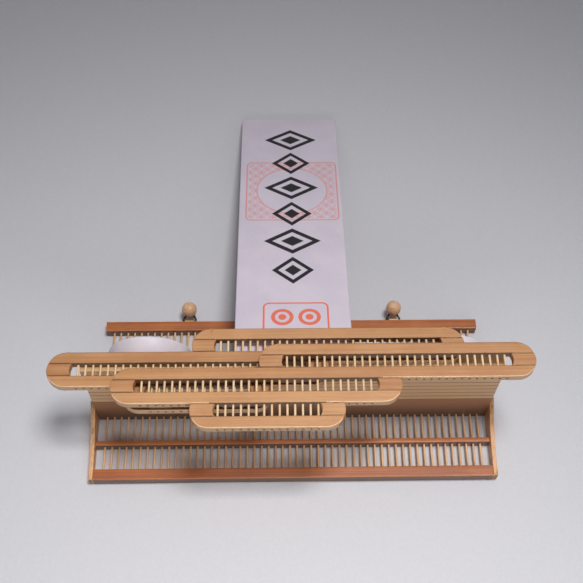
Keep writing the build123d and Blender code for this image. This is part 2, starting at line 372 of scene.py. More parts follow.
@dataclass(frozen=True)
class Metal:
    """Finish of a small metal piece, with tarnish in patches and bright rubbed edges."""

    name: str
    clean: Colour
    tarnish: Colour
    cover: float
    roughness: float

    def build(self) -> bpy.types.Material:
        """Makes the material."""
        surface = Surface(self.name)
        edge = surface.mark(Mark.EDGE)
        patches = surface.noise(surface.place, 0.55, 4.0, 0.6)
        patches = patches.ramp(0.62 - self.cover, 0.85 - self.cover)
        scratches = surface.noise(surface.place, 6.0, 2.0, 0.7).ramp(0.4, 0.8)
        amount = (patches - 0.55 * edge).ramp(0.0, 1.0)
        colour = surface.mix(amount, self.clean, self.tarnish)
        roughness = self.roughness + 0.22 * amount + 0.1 * scratches
        height = 0.01 * scratches + 0.012 * amount
        return surface.finish(surface.shader({"Metallic": 1.0}, colour, roughness, height, 0.6))


@dataclass(frozen=True)
class Glaze:
    """Finish of white glazed ware: pooled glaze, faint specks and a bare foot ring."""

    name: str
    glaze: Colour
    pooled: Colour
    bare: Colour

    def build(self) -> bpy.types.Material:
        """Makes the material."""
        surface = Surface(self.name)
        edge, bare = surface.mark(Mark.EDGE), surface.mark(Mark.SPECIAL)
        waves = surface.full_noise(surface.place, 0.07, 2.0)
        specks = surface.noise(surface.place, 2.4, 1.0, 0.3).ramp(0.74, 0.8)
        grit = surface.full_noise(surface.place, 5.0, 3.0, 0.7)
        colour = surface.mix(waves * 0.6 + edge * 0.3, self.glaze, self.pooled)
        colour = surface.mix(specks * 0.25, colour, darker(self.pooled, 0.6))
        foot = surface.mix(grit, self.bare, darker(self.bare, 0.8))
        colour = surface.mix(bare, colour, foot)
        roughness = 0.42 + 0.06 * waves + 0.3 * bare
        height = 0.05 * waves + bare * (0.04 * grit)
        plain = {"Coat Weight": 0.06, "Coat Roughness": 0.3, "IOR": 1.45}
        return surface.finish(surface.shader(plain, colour, roughness, height, 0.6))


@dataclass(frozen=True)
class PrintedPaper:
    """Finish of the tablet's wrapping paper with plain printed ornaments on its face.

    The ornaments are a column of ink lozenges, a wide rounded frame filled with a traditional
    pattern of overlapping rings round an empty disc, and a small rounded frame below with four
    broad rings.
    """

    name: str
    paper: Colour
    shade: Colour
    ink: Colour
    red: Colour
    lozenge_across: float = 0.6
    lozenge_places: tuple[float, ...] = (214.0, 186.5, 159.0, 131.5, 104.0, 76.5)
    lozenge_half_width: float = 19.0
    lozenge_half_height: float = 12.6
    narrow_share: float = 0.72
    wide_place: Point = (1.0, 156.0)
    wide_half: Point = (31.0, 31.0)
    wide_field: Point = (29.6, 29.6)
    wide_line: float = 0.55
    disc_radius: float = 24.0
    ring_cell: float = 8.0
    small_place: Point = (1.8, 27.0)
    small_half: Point = (19.4, 20.3)
    small_field: Point = (16.4, 17.3)
    small_line: float = 0.6
    broad_ring_place: Point = (8.2, 8.6)
    broad_ring_radius: float = 5.6
    frame_corner: float = 3.5

    def build(self) -> bpy.types.Material:
        """Makes the material."""
        surface = Surface(self.name)
        metres = surface.split(surface.node("ShaderNodeUVMap", {"uv_map": FACE_MAP})[0])
        across, up = [part * (1 / MM) for part in metres[:2]]
        front = surface.mark(Mark.SPECIAL)
        fibres = surface.full_noise(surface.place, 0.9, 4.0, 0.65)
        clouds = surface.full_noise(surface.place, 0.05)
        bleed = surface.noise(surface.place, 3.5, 2.0, 0.6) - 0.5
        colour = surface.mix(fibres * 0.3 + clouds * 0.5, self.paper, self.shade)
        wide = self.wide_frame(across, up, bleed)
        colour = surface.mix(wide * front * 0.8, colour, self.red)
        small = self.small_frame(across, up, bleed)
        colour = surface.mix(small * front * 0.9, colour, self.red)
        ink = self.lozenges(across, up, bleed) * front
        colour = surface.mix(ink * 0.96, colour, self.ink)
        height = 0.03 * fibres + 0.006 * ink
        roughness = 0.72 + 0.12 * fibres - 0.2 * ink
        plain = {"Specular IOR Level": 0.2}
        return surface.finish(surface.shader(plain, colour, roughness, height, 0.5))

    def lozenges(self, across: Wire, up: Wire, bleed: Wire) -> Wire:
        """Column of ink lozenges, each an open outline with a solid heart."""
        total: Any = None
        for number, centre in enumerate(self.lozenge_places):
            wide = self.lozenge_half_width * (1.0 if number % 2 == 0 else self.narrow_share)
            reach = abs(across - self.lozenge_across) / wide
            reach = reach + abs(up - centre) / self.lozenge_half_height + bleed * 0.05
            lozenge = (1 - abs(reach - 0.83).ramp(0.12, 0.17)).most(reach.ramp(0.42, 0.36))
            total = total.most(lozenge) if total else lozenge
        return total

    def wide_frame(self, across: Wire, up: Wire, bleed: Wire) -> Wire:
        """Wide frame with the ring pattern round an empty disc."""
        x, z = across - self.wide_place[0], up - self.wide_place[1]
        disc = x.length(z) - self.disc_radius
        field = self.from_square(x, z, self.wide_field).ramp(0.3, -0.3)
        field = field * (1 - disc.ramp(0.4, -0.4)) * self.ring_pattern(across, up) * 0.55
        outline = self.outline(x, z, self.wide_half, self.wide_line, bleed)
        return field.most(outline * 0.7).most((1 - abs(disc).ramp(0.2, 0.55)) * 0.7)

    def small_frame(self, across: Wire, up: Wire, bleed: Wire) -> Wire:
        """Small frame with four broad rings, two by two."""
        x, z = across - self.small_place[0], up - self.small_place[1]
        right, high = self.broad_ring_place
        distance = (abs(x) - right).length(abs(z) - high)
        rings = 1 - abs(distance - self.broad_ring_radius).ramp(1.0, 1.4)
        rings = rings.most(distance.ramp(2.6, 2.2))
        field = self.from_square(x, z, self.small_field).ramp(0.3, -0.3)
        return self.outline(x, z, self.small_half, self.small_line, bleed).most(field * rings)

    def outline(self, x: Wire, z: Wire, half: Point, line: float, bleed: Wire) -> Wire:
        """Line of a rounded square with these half sizes."""
        distance = self.from_square(x, z, half)
        return 1 - abs(distance + bleed * 0.3).ramp(line * 0.6, line * 1.3)

    def from_square(self, x: Wire, z: Wire, half: Point) -> Wire:
        """Distance from the outline of a rounded square, below zero inside it."""
        right = (abs(x) - (half[0] - self.frame_corner)).most(0.0)
        high = (abs(z) - (half[1] - self.frame_corner)).most(0.0)
        return right.length(high) - self.frame_corner

    def ring_pattern(self, across: Wire, up: Wire) -> Wire:
        """Lines of the traditional pattern of overlapping rings, on two square grids."""
        grids = []
        for shift in (0.0, 0.5):
            u = (across / self.ring_cell + 50.0 + shift).fraction() - 0.5
            v = (up / self.ring_cell + 50.0 + shift).fraction() - 0.5
            grids.append(1 - abs(u.length(v) - 0.48).ramp(0.02, 0.06))
        return grids[0].most(grids[1])


def painted(kind: type, name: str, *screens: Sequence[int], **sizes: Any) -> bpy.types.Material:
    """Material of one kind of finish; its screen colours come in the order of the class."""
    return kind(name, *(linear(*screen) for screen in screens), **sizes).build()


@dataclass(frozen=True)
class Palette:
    """The colours and finishes of the whole shelf."""

    bar_pale: tuple[int, ...] = (201, 148, 98)
    bar_under: tuple[int, ...] = (219, 177, 131)
    # bright edge colour of the bars and blocks: a painted highlight on their lower bevels
    bar_edge: tuple[int, ...] = (250, 206, 164)

    def build(self) -> dict[str, bpy.types.Material]:
        """Makes every material; a bamboo's colours are pale, deep, underside and edge (a painted
        highlight on bars, blocks and rails).
        """
        pale, under, edge = self.bar_pale, self.bar_under, self.bar_edge
        return {
            # rails: the underside colour is painted shade, much darker than the front, and the edge
            # colour a painted highlight
            "rail": painted(Bamboo, "rail_bamboo", (194, 115, 56), (150, 76, 29), (120, 80, 52),
                            (214, 148, 100), roughness=0.36, coat=0.25, streak_width=0.9),
            "board": painted(Bamboo, "board_bamboo", (240, 186, 134), (168, 110, 70),
                             (150, 112, 78), (226, 178, 128), grain=Axis.Z, blotch=0.75,
                             fibre_width=0.3),
            "bar": painted(Bamboo, "bar_bamboo", pale, (177, 121, 73), under, edge, roughness=0.4),
            "block": painted(Bamboo, "block_bamboo", pale, (171, 113, 67), under, edge,
                             roughness=0.4),
            "strip": painted(Bamboo, "strip_bamboo", (226, 186, 138), (192, 148, 104),
                             (228, 187, 142), (142, 104, 72), roughness=0.5, tone_spread=0.5),
            "upstand": painted(Bamboo, "upstand_bamboo", (228, 190, 144), (196, 154, 110),
                               (190, 150, 108), (228, 190, 144)),
            # rear board: painted shade towards the wall
            "rear": painted(Bamboo, "rear_bamboo", (140, 90, 52), (104, 62, 34), (178, 128, 90),
                            (150, 100, 64), roughness=0.4, wall_fade=0.85),
            "fine_stick": painted(Bamboo, "fine_stick_bamboo", (248, 218, 176), (226, 184, 136),
                                  (210, 180, 140), (248, 218, 176), grain=Axis.Z, tone_spread=0.8),
            "back_stick": painted(Bamboo, "back_stick_bamboo", (242, 196, 148), (196, 148, 106),
                                  (170, 130, 95), (214, 174, 132), grain=Axis.Z, tone_spread=0.8),
            "spacer": painted(Bamboo, "spacer_bamboo", (160, 116, 78), (120, 80, 50),
                              (130, 96, 66), (170, 126, 88)),
            "ball": painted(TurnedWood, "ball_wood", (230, 188, 148), (200, 152, 110)),
            "brass": painted(Metal, "hanger_brass", (150, 124, 78), (58, 50, 38), cover=0.28,
                             roughness=0.34),
            "strap": painted(Metal, "strap_brass", (236, 200, 148), (170, 130, 84), cover=0.1,
                             roughness=0.4),
            "steel": painted(Metal, "needle_steel", (200, 200, 204), (120, 118, 116), cover=0.0,
                             roughness=0.2),
            "glaze": painted(Glaze, "dish_glaze", (229, 221, 227), (215, 205, 215),
                             (206, 194, 178)),
            "paper": painted(PrintedPaper, "tablet_paper", (218, 208, 219), (206, 195, 208),
                             (9, 9, 12), (236, 106, 66)),
        }


class Shape:
    """A mesh under construction, in millimetres in the part's frame."""

    def __init__(self) -> None:
        """Starts an empty mesh with its marks."""
        self.mesh = bmesh.new()
        for mark in Mark:
            self.mesh.faces.layers.float.new(mark.value)

    def faces(self, chosen: Callable[[Vector], bool], left: float = -math.inf,
              right: float = math.inf) -> list[bmesh.types.BMFace]:
        """Faces between two X whose normal passes a test."""
        return [f for f in self.mesh.faces
                if chosen(f.normal) and left < f.calc_center_median().x < right]

    def mark(self, faces: Iterable[bmesh.types.BMFace], mark: Mark, value: float = 1.0) -> "Shape":
        """Gives faces a mark."""
        layer = self.mesh.faces.layers.float[mark.value]
        for face in faces:
            face[layer] = value
        return self

    def skin(self, rings: Sequence[Sequence[Vector]], closed: bool = False) -> "Shape":
        """Adds faces between rings of points.

        Args:
            rings: the rings, in order; a ring of one point is a tip.
            closed: whether the last ring joins the first.

        Returns:
            This shape.
        """
        sides = max(len(ring) for ring in rings)
        made = [[self.mesh.verts.new(place) for place in ring] for ring in rings]
        following = made[1:] + (made[:1] if closed else [])
        for one, two in zip(made, following):
            for i in range(sides):
                j = (i + 1) % sides
                corners = [one[i % len(one)], one[j % len(one)], two[j % len(two)],
                           two[i % len(two)]]
                kept = list(dict.fromkeys(corners))
                if len(kept) > 2:
                    self.mesh.faces.new(kept)
        bmesh.ops.recalc_face_normals(self.mesh, faces=self.mesh.faces[:])
        return self

    def prism(self, outline: Sequence[Point], across: Axis, low: float, high: float) -> "Shape":
        """Adds a straight body over an outline.

        Args:
            outline: corners, in the two coordinates other than across and in their order.
            across: direction in which the outline is pulled.
            low: start of the body along that direction.
            high: end of the body along that direction.

        Returns:
            This shape.
        """
        cut = across.value
        first, second = [[self.mesh.verts.new((*p[:cut], level, *p[cut:])) for p in outline]
                         for level in (low, high)]
        self.mesh.faces.new(first)
        self.mesh.faces.new(list(reversed(second)))
        for i in range(len(outline)):
            j = (i + 1) % len(outline)
            self.mesh.faces.new((first[i], second[i], second[j], first[j]))
        bmesh.ops.recalc_face_normals(self.mesh, faces=self.mesh.faces[:])
        return self

    def box(self, low: Sequence[float], high: Sequence[float]) -> "Shape":
        """Adds a plain block between two corners."""
        (left, front, foot), (right, back, head) = low, high
        outline = [(left, foot), (right, foot), (right, head), (left, head)]
        return self.prism(outline, Axis.Y, front, back)

    def lathe(self, profile: Sequence[Point], centre: Vector, axis: Axis, sides: int) -> "Shape":
        """Turns a profile round an axis through a centre.

        Args:
            profile: radius and height of each ring, from one end to the other.
            centre: where height 0 lies on the axis.
            axis: the axis.
            sides: faces round it.

        Returns:
            This shape.
        """
        first, second = [i for i in range(3) if i != axis.value]
        rings = []
        for radius, height in profile:
            ring = []
            for i in range(sides if radius > TINY else 1):
                turn = 2 * math.pi * i / sides
                place = Vector((height, height, height))
                place[first], place[second] = radius * math.cos(turn), radius * math.sin(turn)
                ring.append(place + centre)
            rings.append(ring)
        return self.skin(rings)

    def soften(self, width: float, segments: int = 2, sharper: float = 35.0) -> "Shape":
        """Rounds the sharp edges and gives the new faces that look down the edge mark, painted by
        each finish as a highlight, a dark joint or rubbed metal.

        Args:
            width: width of the rounding.
            segments: faces across it.
            sharper: edges that turn by more than this many degrees are rounded.

        Returns:
            This shape.
        """
        limit = math.radians(sharper)
        edges = [e for e in self.mesh.edges if e.is_manifold and e.calc_face_angle() > limit]
        made = bmesh.ops.bevel(self.mesh, geom=edges, offset=width, segments=segments,
                               profile=0.5, affect="EDGES", clamp_overlap=True)
        self.mesh.normal_update()
        # downward bevels take the edge colour: on bars, blocks and rails a painted highlight
        worn = [f for f in made["faces"] if f.normal.z < -0.2 and abs(f.normal.x) < 0.75]
        return self.mark(worn, Mark.EDGE)

    def cut_at(self, *places: float) -> "Shape":
        """Splits the faces at these X, so that a mark can change there."""
        for x in places:
            parts = self.mesh.verts[:] + self.mesh.edges[:] + self.mesh.faces[:]
            bmesh.ops.bisect_plane(self.mesh, geom=parts, plane_co=(x, 0, 0), plane_no=(1, 0, 0))
        return self

    def mark_under(self) -> "Shape":
        """Marks faces that look down."""
        return self.mark(self.faces(lambda n: n.z < -0.8), Mark.UNDER)

    def shade_joints(self, value: float) -> "Shape":
        """Paints shade on the narrow faces that look up and forward, in the grooves between stacked
        parts.
        """
        narrow = self.faces(lambda n: 0.25 < n.z < 0.97 and n.y < -0.2)
        return self.mark(narrow, Mark.SPECIAL, value)

    def shade_below(self, left: float, right: float, value: float) -> "Shape":
        """Paints shade on the lower front edge between two X, in place of its painted highlight,
        where it meets another part or lies over a slot.
        """
        narrow = self.faces(lambda n: -0.97 < n.z < -0.25 and n.y < -0.2, left, right)
        return self.mark(narrow, Mark.EDGE, 0.0).mark(narrow, Mark.SPECIAL, value)

    def shade_facing(self, way: Place, left: float, right: float, value: float) -> "Shape":
        """Darkens the faces that look one way between two X, which little light reaches."""
        looking = self.faces(lambda n: n.dot(way) > 0.9, left, right)
        return self.mark(looking, Mark.SPECIAL, value)

    def moved(self, matrix: Matrix) -> "Shape":
        """Moves every point by a matrix."""
        bmesh.ops.transform(self.mesh, matrix=matrix, verts=self.mesh.verts[:])
        return self

    def to_mesh(self, name: str, tone: float = MIDDLE_TONE) -> bpy.types.Mesh:
        """Finished mesh in metres, with its tone on every point."""
        self.moved(Matrix.Scale(MM, 4))
        mesh = bpy.data.meshes.new(name)
        self.mesh.to_mesh(mesh)
        self.mesh.free()
        layer = mesh.attributes.new(TONE, "FLOAT", "POINT")
        layer.data.foreach_set("value", [tone] * len(mesh.vertices))
        return mesh


class Repeater:
    """Geometry Nodes tree that sets a prototype on every point of a mesh."""

    def __init__(self) -> None:
        """Builds the tree."""
        self.group = bpy.data.node_groups.new("repeated_piece", "GeometryNodeTree")
        face = self.group.interface
        inputs = {"Points": "Geometry", "Prototype": "Object", "Tilt": "Float", "Turn": "Float",
                  "Spread": "Float", "Seed": "Int", "Material": "Material"}
        for name, kind in inputs.items():
            face.new_socket(name, in_out="INPUT", socket_type=f"NodeSocket{kind}")
        face.new_socket("Geometry", in_out="OUTPUT", socket_type="NodeSocketGeometry")
        tree = Tree(self.group)
        given = tree.node("NodeGroupInput")
        points, prototype, tilt, turn, spread, seed, material = given[:len(inputs)]

        def chance(low: Any, high: Any, shift: int) -> Wire:
            """Random number for each point."""
            sockets = {2: low, 3: high, "Seed": seed + shift}
            return tree.node("FunctionNodeRandomValue", {"data_type": "FLOAT"}, sockets)[0]

        lean = tree.vector(chance(tilt * -1, tilt, 1), chance(tilt * -1, tilt, 2),
                           chance(0.0, turn, 3))
        stretch = tree.node("GeometryNodeInputNamedAttribute", {"data_type": "FLOAT_VECTOR"},
                            {"Name": STRETCH})[0]
        wide = chance(1 - spread, 1 + spread, 4)
        size = tree.node("ShaderNodeVectorMath", {"operation": "MULTIPLY"},
                         {0: stretch, 1: tree.vector(wide, wide, 1.0)})[0]
        source = tree.node("GeometryNodeObjectInfo", {"transform_space": "ORIGINAL"},
                           {"Object": prototype})
        copies = tree.node("GeometryNodeInstanceOnPoints", {}, {
            "Points": points, "Instance": source[-1], "Rotation": lean, "Scale": size})[0]
        toned = tree.node("GeometryNodeStoreNamedAttribute",
                          {"data_type": "FLOAT", "domain": "INSTANCE"},
                          {"Geometry": copies, "Name": TONE, "Value": chance(0.0, 1.0, 5)})[0]
        real = tree.node("GeometryNodeRealizeInstances", {}, {"Geometry": toned})[0]
        dressed = tree.node("GeometryNodeSetMaterial", {},
                            {"Geometry": real, "Material": material})[0]
        tree.node("NodeGroupOutput", {}, {"Geometry": dressed})

    def make(self, copies: Copies, prototype: Shape, **inputs: Any) -> bpy.types.Mesh:
        """Sets the prototype on points.

        Args:
            copies: place in millimetres and stretch of each copy.
            prototype: shape of one copy.
            inputs: the tree's other inputs by name.

        Returns:
            One plain mesh with every copy.
        """
        mesh = bpy.data.meshes.new("points")
        mesh.from_pydata([place * MM for place, _ in copies], [], [])
        layer = mesh.attributes.new(STRETCH, "FLOAT_VECTOR", "POINT")
        layer.data.foreach_set("vector", [value for _, stretch in copies for value in stretch])
        holder = placed("points", mesh)
        pattern = placed("pattern", prototype.to_mesh("pattern"))
        modifier = holder.modifiers.new("repeat", "NODES")
        modifier.node_group = self.group
        wanted = {"Prototype": pattern} | inputs
        for item in self.group.interface.items_tree:
            if item.in_out == "INPUT" and item.name in wanted:
                modifier[item.identifier] = wanted[item.name]
        return taken(holder, pattern)


class Workshop:
    """Turns shapes into pieces that ride on the frame, and reports them."""

    hole_shade: float = 0.22
    hole_sides: int = 10
    stick_sides: int = 12

    def __init__(self, materials: dict[str, bpy.types.Material]) -> None:
        """Keeps the materials, the repeater and a seeded source of tones."""
        self.materials = materials
        self.repeater = Repeater()
        self.tones = random.Random(TONE_SEED)
        self.count = 0

    def add(self, name: str, made: Shape | bpy.types.Mesh, material: str, slot: str,
            *nodes: str) -> None:
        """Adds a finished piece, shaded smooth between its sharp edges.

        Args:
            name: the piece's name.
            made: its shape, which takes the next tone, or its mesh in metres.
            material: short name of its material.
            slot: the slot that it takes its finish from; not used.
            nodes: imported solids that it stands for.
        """
        if isinstance(made, Shape):
            made = made.to_mesh(name, self.tones.random())
        piece = placed(name, made)
        made.materials.clear()
        made.materials.append(self.materials[material])
        made.shade_smooth()
        made.set_sharp_from_angle(angle=SMOOTH_ANGLE)
        piece.modifiers.new("weighted", "WEIGHTED_NORMAL").keep_sharp = True
        baked(piece)
        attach(piece, "root")
        if nodes:
            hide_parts(*nodes)
        self.count += 1
        log.info("%s: %d faces", name, len(piece.data.polygons))

    def drilled(self, shape: Shape, places: Sequence[float], y: float, low: float, high: float,
                radius: float) -> bpy.types.Mesh:
        """Mesh of a shape with upright round holes; the shape takes the next tone.

        Args:
            shape: the shape to drill.
            places: X of each hole.
            y: Y of the row of holes.
            low: lowest height of the holes.
            high: highest height of the holes.
            radius: radius of a hole.

        Returns:
            The drilled mesh, in metres.
        """
        mesh = shape.to_mesh("blank", self.tones.random())
        if not places:
            return mesh
        cutter = Shape()
        profile = [(0.0, low), (radius, low), (radius, high), (0.0, high)]
        for x in places:
            cutter.lathe(profile, Vector((x, y, 0.0)), Axis.Z, self.hole_sides)
        cutter.mark(cutter.mesh.faces, Mark.SPECIAL, self.hole_shade)
        tool = placed("cutter", cutter.to_mesh("cutter"))
        piece = placed("blank", mesh)
        cut = piece.modifiers.new("cut", "BOOLEAN")
        cut.operation, cut.solver, cut.object = "DIFFERENCE", "EXACT", tool
        return taken(piece, tool)

    def sticks(self, copies: Copies, material: str, seed: int) -> bpy.types.Mesh:
        """Row of round sticks.

        Args:
            copies: foot of each stick, with its radius twice and its length as the stretch.
            material: short name of the material.
            seed: seed of their small differences.

        Returns:
            One mesh with all the sticks.
        """
        profile = [(0.0, 0.0), (0.82, 0.0), (1.0, 0.004), (1.0, 0.25), (0.985, 0.5), (1.0, 0.75),
                   (1.0, 0.996), (0.82, 1.0), (0.0, 1.0)]
        shape = Shape().lathe(profile, Vector((0, 0, 0)), Axis.Z, self.stick_sides)
        return self.repeater.make(copies, shape, Tilt=0.0012, Turn=6.28, Spread=0.045, Seed=seed,
                                  Material=self.materials[material])


@dataclass
class Assembly:
    """A sub-assembly, with the workshop that makes its pieces."""

    shop: Workshop


@dataclass
class LatticeBack(Assembly):
    """The lattice frame on the wall: three rails, two side boards and the long sticks."""

    rail_round: float = 0.9
    rail_back: float = 0.25
    rail_soft: float = 0.3
    rail_wear: float = 0.6
    stick_radius: float = 0.65
    stick_count: int = 54
    stick_pitch: float = 4.4
    stick_reach: float = 3.5
    stick_seed: int = 3
    hole_depth: float = 2.0
    board_sweep_start: float = 5.0
    board_foot_reach: float = 7.0
    board_foot_round: float = 1.6
    board_round: float = 0.5

    def build(self) -> None:
        """Builds the rails, boards and sticks."""
        for name in ("top_rail", "middle_rail", "bottom_rail"):
            self.rail(name)
        for side in ("left", "right"):
            self.side_board(f"{side}_side_board")
        self.sticks()

    def rail(self, name: str) -> None:
        """One rail with rounded front edges and slightly softened back edges."""
        low, high = span(name)
        r, b = self.rail_round, self.rail_back
        outline = (
            arc((low.y + r, low.z + r), r, 270, 180, 5)
            + arc((low.y + r, high.z - r), r, 180, 90, 5)
            + [(high.y - b, high.z), (high.y, high.z - b), (high.y, low.z + b), (high.y - b, low.z)]
        )
        shape = Shape().prism(outline, Axis.X, low.x, high.x).soften(self.rail_soft, 2, 60)
        shape.mark_under()
        # the rounded front edges take the edge colour, a painted highlight
        rounded = shape.faces(lambda n: n.y < -0.2 and abs(n.z) > 0.25)
        shape.mark(rounded, Mark.EDGE, self.rail_wear)
        self.shop.add(f"bamboo_{name}", shape, "rail", "rail_bamboo", name)

    def side_board(self, name: str) -> None:
        """Side board whose front edge is upright at the foot and sweeps forward above."""
        low, high = span(name)
        start = low.z + self.board_sweep_start
        out = -low.y - self.board_foot_reach
        rise = high.z - start
        radius = (out * out + rise * rise) / (2 * out)
        turn = math.degrees(math.asin(rise / radius))
        sweep = arc((-self.board_foot_reach - radius, start), radius, 0, turn, 18)
        r = self.board_foot_round
        foot = arc((-self.board_foot_reach + r, low.z + r), r, 270, 180, 5)
        outline = foot + sweep + [(high.y, high.z), (high.y, low.z)]
        shape = Shape().prism(outline, Axis.X, low.x, high.x).soften(self.board_round, 3, 50)
        self.shop.add(f"bamboo_{name}", shape.mark_under(), "board", "side_board_bamboo", name)

    def sticks(self) -> None:
        """Long sticks from the bottom rail through the shelf to the top rail."""
        foot = span("bottom_rail")[1].z - self.hole_depth
        head = span("top_rail")[0].z + self.hole_depth
        first = -(self.stick_count - 1) / 2 * self.stick_pitch
        scale = Vector((self.stick_radius, self.stick_radius, head - foot))
        copies = [(Vector((first + i * self.stick_pitch, -self.stick_reach, foot)), scale)
                  for i in range(self.stick_count)]
        mesh = self.shop.sticks(copies, "back_stick", self.stick_seed)
        self.shop.add("bamboo_lattice_sticks", mesh, "back_stick", "lattice_stick_bamboo",
                      "lattice_sticks")


@dataclass
class Shelf(Assembly):
    """The shelf: a smooth rear board, a front board of glued strips and a low upstand."""

    rear_edge: float = 0.3
    strip_count: int = 9
    strip_edge: float = 0.4
    strip_seed: int = 9
    upstand_edge: float = 0.2
    upstand_height: float = 6.0
    upstand_width: float = 3.0
    tablet_room: float = 1.5

    def build(self) -> None:
        """Builds both boards and the upstand."""
        shape = Shape().box(*span("shelf_rear_board")).soften(self.rear_edge, 2).mark_under()
        self.shop.add("bamboo_rear_board", shape, "rear", "shelf_rear_bamboo", "shelf_rear_board")
        self.strips()
        self.upstand()

    def strips(self) -> None:
        """Front board: strips side by side with softened edges, so that their joints show."""
        low, high = span("shelf_front_board")
        width = (high.y - low.y) / self.strip_count
        shape = Shape().box((low.x, 0, low.z), (high.x, width, high.z))
        shape.soften(self.strip_edge, 2).mark_under()
        copies = [(Vector((0, low.y + i * width, 0)), Vector((1, 1, 1)))
                  for i in range(self.strip_count)]
        mesh = self.shop.repeater.make(copies, shape, Tilt=0.0, Turn=0.0, Spread=0.0,
                                       Seed=self.strip_seed, Material=self.shop.materials["strip"])
        self.shop.add("bamboo_front_board", mesh, "strip", "shelf_front_bamboo",
                      "shelf_front_board")

    def upstand(self) -> None:
        """Low strips on the front edge, on both sides of the tablet, against the fascia's back."""
        low, high = span("shelf_front_board")
        left, right = [corner.x for corner in span("tablet")]
        back, head = low.y + self.upstand_width, high.z + self.upstand_height
        shape = Shape().box((low.x, low.y, high.z), (left - self.tablet_room, back, head))
        shape.box((right + self.tablet_room, low.y, high.z), (high.x, back, head))
        shape.soften(self.upstand_edge, 1)
        self.shop.add("bamboo_shelf_upstand", shape, "upstand", "shelf_front_bamboo")


@dataclass(frozen=True)
class Cloud:
    """One cloud of the fascia: its layer, the number of its lower bar and its two ends in X."""

    name: str
    layer: str
    row: int
    left: float
    right: float


